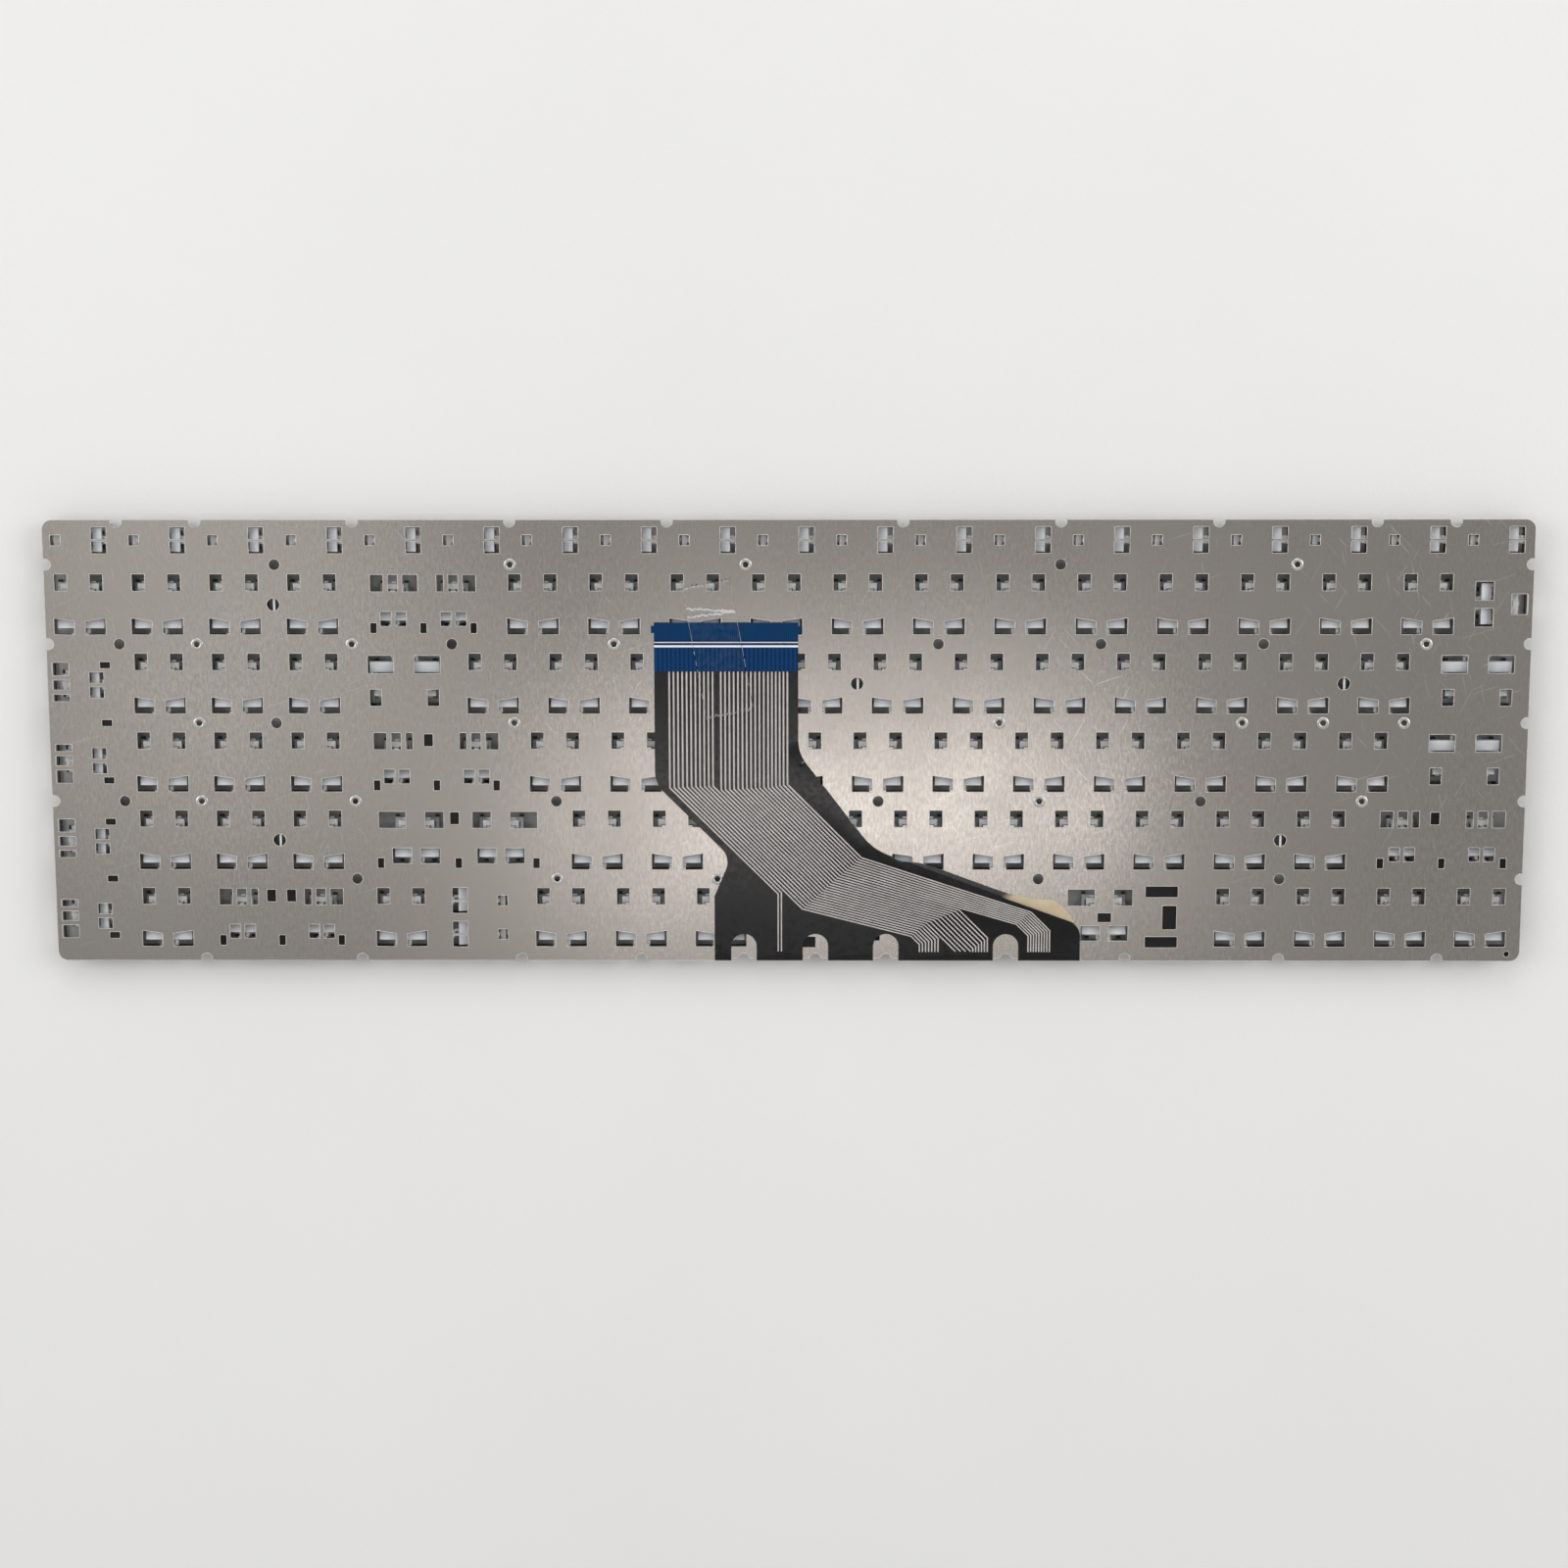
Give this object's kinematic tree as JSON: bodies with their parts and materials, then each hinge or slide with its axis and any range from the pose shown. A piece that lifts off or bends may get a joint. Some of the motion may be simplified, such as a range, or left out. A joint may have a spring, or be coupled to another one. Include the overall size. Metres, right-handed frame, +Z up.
{
  "type": "laptop replacement keyboard",
  "caption": "Full-size laptop keyboard lying keys down, with sprung scissor keys, rubber domes, circuit sheets and a windowed metal back plate with a folded connector tail",
  "frame": {"origin": "middle of the outline, level with the touch faces of the keys, on which it lies", "axes": "X along the key rows, Y towards the function row, Z up out of the metal back plate"},
  "size_m": [0.345, 0.104, 0.0052],
  "materials": {
    "plate_metal": "brushed, lightly scratched",
    "tail_film": "black printed film, satin",
    "spacer_film": "plain film",
    "key_film": "dark film",
    "stiffener_blue": "blue polyester, satin",
    "clear_tape": "clear adhesive tape",
    "dome_rubber": "milky silicone",
    "scissor_plastic": "light grey acetal",
    "wire_steel": "drawn wire",
    "keycap_plastic": "black, fine matt grain"
  },
  "bodies": {
    "chassis": {"back_plate": "plate_metal", "tail_sheet": "tail_film", "spacer_sheet": "spacer_film", "key_side_sheet": "key_film", "tail_stiffener": "stiffener_blue", "holding_tape": "clear_tape", "rubber_domes": "dome_rubber", "scissor_outer_frames": "scissor_plastic", "scissor_inner_frames": "scissor_plastic", "levelling_wires": "wire_steel", "function_row_keycaps": "keycap_plastic", "number_pad_keycaps": "keycap_plastic", "punctuation_keycaps": "keycap_plastic", "modifier_keycaps": "keycap_plastic"},
    "key_a": {"keycap_a": "keycap_plastic"},
    "key_b": {"keycap_b": "keycap_plastic"},
    "key_c": {"keycap_c": "keycap_plastic"},
    "key_d": {"keycap_d": "keycap_plastic"},
    "key_e": {"keycap_e": "keycap_plastic"},
    "key_f": {"keycap_f": "keycap_plastic"},
    "key_g": {"keycap_g": "keycap_plastic"},
    "key_h": {"keycap_h": "keycap_plastic"},
    "key_i": {"keycap_i": "keycap_plastic"},
    "key_j": {"keycap_j": "keycap_plastic"},
    "key_k": {"keycap_k": "keycap_plastic"},
    "key_l": {"keycap_l": "keycap_plastic"},
    "key_m": {"keycap_m": "keycap_plastic"},
    "key_n": {"keycap_n": "keycap_plastic"},
    "key_o": {"keycap_o": "keycap_plastic"},
    "key_p": {"keycap_p": "keycap_plastic"},
    "key_q": {"keycap_q": "keycap_plastic"},
    "key_r": {"keycap_r": "keycap_plastic"},
    "key_s": {"keycap_s": "keycap_plastic"},
    "key_t": {"keycap_t": "keycap_plastic"},
    "key_u": {"keycap_u": "keycap_plastic"},
    "key_v": {"keycap_v": "keycap_plastic"},
    "key_w": {"keycap_w": "keycap_plastic"},
    "key_x": {"keycap_x": "keycap_plastic"},
    "key_y": {"keycap_y": "keycap_plastic"},
    "key_z": {"keycap_z": "keycap_plastic"},
    "key_0": {"keycap_0": "keycap_plastic"},
    "key_1": {"keycap_1": "keycap_plastic"},
    "key_2": {"keycap_2": "keycap_plastic"},
    "key_3": {"keycap_3": "keycap_plastic"},
    "key_4": {"keycap_4": "keycap_plastic"},
    "key_5": {"keycap_5": "keycap_plastic"},
    "key_6": {"keycap_6": "keycap_plastic"},
    "key_7": {"keycap_7": "keycap_plastic"},
    "key_8": {"keycap_8": "keycap_plastic"},
    "key_9": {"keycap_9": "keycap_plastic"},
    "key_space": {"keycap_space": "keycap_plastic"},
    "key_enter": {"keycap_enter": "keycap_plastic"},
    "key_backspace": {"keycap_backspace": "keycap_plastic"},
    "key_up_arrow": {"keycap_up_arrow": "keycap_plastic"},
    "key_down_arrow": {"keycap_down_arrow": "keycap_plastic"},
    "key_left_arrow": {"keycap_left_arrow": "keycap_plastic"},
    "key_right_arrow": {"keycap_right_arrow": "keycap_plastic"}
  },
  "joints": [
    {"name": "press_a", "type": "slide", "parent": "chassis", "child": "key_a", "axis": [0, 0, 1], "range_m": [0, 0.0015], "stiffness_N_per_m": 250, "springref_m": -0.0006, "deforming": ["rubber_domes", "scissor_outer_frames", "scissor_inner_frames"]},
    {"name": "press_b", "type": "slide", "parent": "chassis", "child": "key_b", "axis": [0, 0, 1], "range_m": [0, 0.0015], "stiffness_N_per_m": 250, "springref_m": -0.0006, "deforming": ["rubber_domes", "scissor_outer_frames", "scissor_inner_frames"]},
    {"name": "press_c", "type": "slide", "parent": "chassis", "child": "key_c", "axis": [0, 0, 1], "range_m": [0, 0.0015], "stiffness_N_per_m": 250, "springref_m": -0.0006, "deforming": ["rubber_domes", "scissor_outer_frames", "scissor_inner_frames"]},
    {"name": "press_d", "type": "slide", "parent": "chassis", "child": "key_d", "axis": [0, 0, 1], "range_m": [0, 0.0015], "stiffness_N_per_m": 250, "springref_m": -0.0006, "deforming": ["rubber_domes", "scissor_outer_frames", "scissor_inner_frames"]},
    {"name": "press_e", "type": "slide", "parent": "chassis", "child": "key_e", "axis": [0, 0, 1], "range_m": [0, 0.0015], "stiffness_N_per_m": 250, "springref_m": -0.0006, "deforming": ["rubber_domes", "scissor_outer_frames", "scissor_inner_frames"]},
    {"name": "press_f", "type": "slide", "parent": "chassis", "child": "key_f", "axis": [0, 0, 1], "range_m": [0, 0.0015], "stiffness_N_per_m": 250, "springref_m": -0.0006, "deforming": ["rubber_domes", "scissor_outer_frames", "scissor_inner_frames"]},
    {"name": "press_g", "type": "slide", "parent": "chassis", "child": "key_g", "axis": [0, 0, 1], "range_m": [0, 0.0015], "stiffness_N_per_m": 250, "springref_m": -0.0006, "deforming": ["rubber_domes", "scissor_outer_frames", "scissor_inner_frames"]},
    {"name": "press_h", "type": "slide", "parent": "chassis", "child": "key_h", "axis": [0, 0, 1], "range_m": [0, 0.0015], "stiffness_N_per_m": 250, "springref_m": -0.0006, "deforming": ["rubber_domes", "scissor_outer_frames", "scissor_inner_frames"]},
    {"name": "press_i", "type": "slide", "parent": "chassis", "child": "key_i", "axis": [0, 0, 1], "range_m": [0, 0.0015], "stiffness_N_per_m": 250, "springref_m": -0.0006, "deforming": ["rubber_domes", "scissor_outer_frames", "scissor_inner_frames"]},
    {"name": "press_j", "type": "slide", "parent": "chassis", "child": "key_j", "axis": [0, 0, 1], "range_m": [0, 0.0015], "stiffness_N_per_m": 250, "springref_m": -0.0006, "deforming": ["rubber_domes", "scissor_outer_frames", "scissor_inner_frames"]},
    {"name": "press_k", "type": "slide", "parent": "chassis", "child": "key_k", "axis": [0, 0, 1], "range_m": [0, 0.0015], "stiffness_N_per_m": 250, "springref_m": -0.0006, "deforming": ["rubber_domes", "scissor_outer_frames", "scissor_inner_frames"]},
    {"name": "press_l", "type": "slide", "parent": "chassis", "child": "key_l", "axis": [0, 0, 1], "range_m": [0, 0.0015], "stiffness_N_per_m": 250, "springref_m": -0.0006, "deforming": ["rubber_domes", "scissor_outer_frames", "scissor_inner_frames"]},
    {"name": "press_m", "type": "slide", "parent": "chassis", "child": "key_m", "axis": [0, 0, 1], "range_m": [0, 0.0015], "stiffness_N_per_m": 250, "springref_m": -0.0006, "deforming": ["rubber_domes", "scissor_outer_frames", "scissor_inner_frames"]},
    {"name": "press_n", "type": "slide", "parent": "chassis", "child": "key_n", "axis": [0, 0, 1], "range_m": [0, 0.0015], "stiffness_N_per_m": 250, "springref_m": -0.0006, "deforming": ["rubber_domes", "scissor_outer_frames", "scissor_inner_frames"]},
    {"name": "press_o", "type": "slide", "parent": "chassis", "child": "key_o", "axis": [0, 0, 1], "range_m": [0, 0.0015], "stiffness_N_per_m": 250, "springref_m": -0.0006, "deforming": ["rubber_domes", "scissor_outer_frames", "scissor_inner_frames"]},
    {"name": "press_p", "type": "slide", "parent": "chassis", "child": "key_p", "axis": [0, 0, 1], "range_m": [0, 0.0015], "stiffness_N_per_m": 250, "springref_m": -0.0006, "deforming": ["rubber_domes", "scissor_outer_frames", "scissor_inner_frames"]},
    {"name": "press_q", "type": "slide", "parent": "chassis", "child": "key_q", "axis": [0, 0, 1], "range_m": [0, 0.0015], "stiffness_N_per_m": 250, "springref_m": -0.0006, "deforming": ["rubber_domes", "scissor_outer_frames", "scissor_inner_frames"]},
    {"name": "press_r", "type": "slide", "parent": "chassis", "child": "key_r", "axis": [0, 0, 1], "range_m": [0, 0.0015], "stiffness_N_per_m": 250, "springref_m": -0.0006, "deforming": ["rubber_domes", "scissor_outer_frames", "scissor_inner_frames"]},
    {"name": "press_s", "type": "slide", "parent": "chassis", "child": "key_s", "axis": [0, 0, 1], "range_m": [0, 0.0015], "stiffness_N_per_m": 250, "springref_m": -0.0006, "deforming": ["rubber_domes", "scissor_outer_frames", "scissor_inner_frames"]},
    {"name": "press_t", "type": "slide", "parent": "chassis", "child": "key_t", "axis": [0, 0, 1], "range_m": [0, 0.0015], "stiffness_N_per_m": 250, "springref_m": -0.0006, "deforming": ["rubber_domes", "scissor_outer_frames", "scissor_inner_frames"]},
    {"name": "press_u", "type": "slide", "parent": "chassis", "child": "key_u", "axis": [0, 0, 1], "range_m": [0, 0.0015], "stiffness_N_per_m": 250, "springref_m": -0.0006, "deforming": ["rubber_domes", "scissor_outer_frames", "scissor_inner_frames"]},
    {"name": "press_v", "type": "slide", "parent": "chassis", "child": "key_v", "axis": [0, 0, 1], "range_m": [0, 0.0015], "stiffness_N_per_m": 250, "springref_m": -0.0006, "deforming": ["rubber_domes", "scissor_outer_frames", "scissor_inner_frames"]},
    {"name": "press_w", "type": "slide", "parent": "chassis", "child": "key_w", "axis": [0, 0, 1], "range_m": [0, 0.0015], "stiffness_N_per_m": 250, "springref_m": -0.0006, "deforming": ["rubber_domes", "scissor_outer_frames", "scissor_inner_frames"]},
    {"name": "press_x", "type": "slide", "parent": "chassis", "child": "key_x", "axis": [0, 0, 1], "range_m": [0, 0.0015], "stiffness_N_per_m": 250, "springref_m": -0.0006, "deforming": ["rubber_domes", "scissor_outer_frames", "scissor_inner_frames"]},
    {"name": "press_y", "type": "slide", "parent": "chassis", "child": "key_y", "axis": [0, 0, 1], "range_m": [0, 0.0015], "stiffness_N_per_m": 250, "springref_m": -0.0006, "deforming": ["rubber_domes", "scissor_outer_frames", "scissor_inner_frames"]},
    {"name": "press_z", "type": "slide", "parent": "chassis", "child": "key_z", "axis": [0, 0, 1], "range_m": [0, 0.0015], "stiffness_N_per_m": 250, "springref_m": -0.0006, "deforming": ["rubber_domes", "scissor_outer_frames", "scissor_inner_frames"]},
    {"name": "press_0", "type": "slide", "parent": "chassis", "child": "key_0", "axis": [0, 0, 1], "range_m": [0, 0.0015], "stiffness_N_per_m": 250, "springref_m": -0.0006, "deforming": ["rubber_domes", "scissor_outer_frames", "scissor_inner_frames"]},
    {"name": "press_1", "type": "slide", "parent": "chassis", "child": "key_1", "axis": [0, 0, 1], "range_m": [0, 0.0015], "stiffness_N_per_m": 250, "springref_m": -0.0006, "deforming": ["rubber_domes", "scissor_outer_frames", "scissor_inner_frames"]},
    {"name": "press_2", "type": "slide", "parent": "chassis", "child": "key_2", "axis": [0, 0, 1], "range_m": [0, 0.0015], "stiffness_N_per_m": 250, "springref_m": -0.0006, "deforming": ["rubber_domes", "scissor_outer_frames", "scissor_inner_frames"]},
    {"name": "press_3", "type": "slide", "parent": "chassis", "child": "key_3", "axis": [0, 0, 1], "range_m": [0, 0.0015], "stiffness_N_per_m": 250, "springref_m": -0.0006, "deforming": ["rubber_domes", "scissor_outer_frames", "scissor_inner_frames"]},
    {"name": "press_4", "type": "slide", "parent": "chassis", "child": "key_4", "axis": [0, 0, 1], "range_m": [0, 0.0015], "stiffness_N_per_m": 250, "springref_m": -0.0006, "deforming": ["rubber_domes", "scissor_outer_frames", "scissor_inner_frames"]},
    {"name": "press_5", "type": "slide", "parent": "chassis", "child": "key_5", "axis": [0, 0, 1], "range_m": [0, 0.0015], "stiffness_N_per_m": 250, "springref_m": -0.0006, "deforming": ["rubber_domes", "scissor_outer_frames", "scissor_inner_frames"]},
    {"name": "press_6", "type": "slide", "parent": "chassis", "child": "key_6", "axis": [0, 0, 1], "range_m": [0, 0.0015], "stiffness_N_per_m": 250, "springref_m": -0.0006, "deforming": ["rubber_domes", "scissor_outer_frames", "scissor_inner_frames"]},
    {"name": "press_7", "type": "slide", "parent": "chassis", "child": "key_7", "axis": [0, 0, 1], "range_m": [0, 0.0015], "stiffness_N_per_m": 250, "springref_m": -0.0006, "deforming": ["rubber_domes", "scissor_outer_frames", "scissor_inner_frames"]},
    {"name": "press_8", "type": "slide", "parent": "chassis", "child": "key_8", "axis": [0, 0, 1], "range_m": [0, 0.0015], "stiffness_N_per_m": 250, "springref_m": -0.0006, "deforming": ["rubber_domes", "scissor_outer_frames", "scissor_inner_frames"]},
    {"name": "press_9", "type": "slide", "parent": "chassis", "child": "key_9", "axis": [0, 0, 1], "range_m": [0, 0.0015], "stiffness_N_per_m": 250, "springref_m": -0.0006, "deforming": ["rubber_domes", "scissor_outer_frames", "scissor_inner_frames"]},
    {"name": "press_space", "type": "slide", "parent": "chassis", "child": "key_space", "axis": [0, 0, 1], "range_m": [0, 0.0015], "stiffness_N_per_m": 250, "springref_m": -0.0006, "deforming": ["rubber_domes", "scissor_outer_frames", "scissor_inner_frames", "levelling_wires"]},
    {"name": "press_enter", "type": "slide", "parent": "chassis", "child": "key_enter", "axis": [0, 0, 1], "range_m": [0, 0.0015], "stiffness_N_per_m": 250, "springref_m": -0.0006, "deforming": ["rubber_domes", "scissor_outer_frames", "scissor_inner_frames", "levelling_wires"]},
    {"name": "press_backspace", "type": "slide", "parent": "chassis", "child": "key_backspace", "axis": [0, 0, 1], "range_m": [0, 0.0015], "stiffness_N_per_m": 250, "springref_m": -0.0006, "deforming": ["rubber_domes", "scissor_outer_frames", "scissor_inner_frames", "levelling_wires"]},
    {"name": "press_up_arrow", "type": "slide", "parent": "chassis", "child": "key_up_arrow", "axis": [0, 0, 1], "range_m": [0, 0.0015], "stiffness_N_per_m": 250, "springref_m": -0.0006, "deforming": ["rubber_domes", "scissor_outer_frames", "scissor_inner_frames"]},
    {"name": "press_down_arrow", "type": "slide", "parent": "chassis", "child": "key_down_arrow", "axis": [0, 0, 1], "range_m": [0, 0.0015], "stiffness_N_per_m": 250, "springref_m": -0.0006, "deforming": ["rubber_domes", "scissor_outer_frames", "scissor_inner_frames"]},
    {"name": "press_left_arrow", "type": "slide", "parent": "chassis", "child": "key_left_arrow", "axis": [0, 0, 1], "range_m": [0, 0.0015], "stiffness_N_per_m": 250, "springref_m": -0.0006, "deforming": ["rubber_domes", "scissor_outer_frames", "scissor_inner_frames"]},
    {"name": "press_right_arrow", "type": "slide", "parent": "chassis", "child": "key_right_arrow", "axis": [0, 0, 1], "range_m": [0, 0.0015], "stiffness_N_per_m": 250, "springref_m": -0.0006, "deforming": ["rubber_domes", "scissor_outer_frames", "scissor_inner_frames"]}
  ]
}
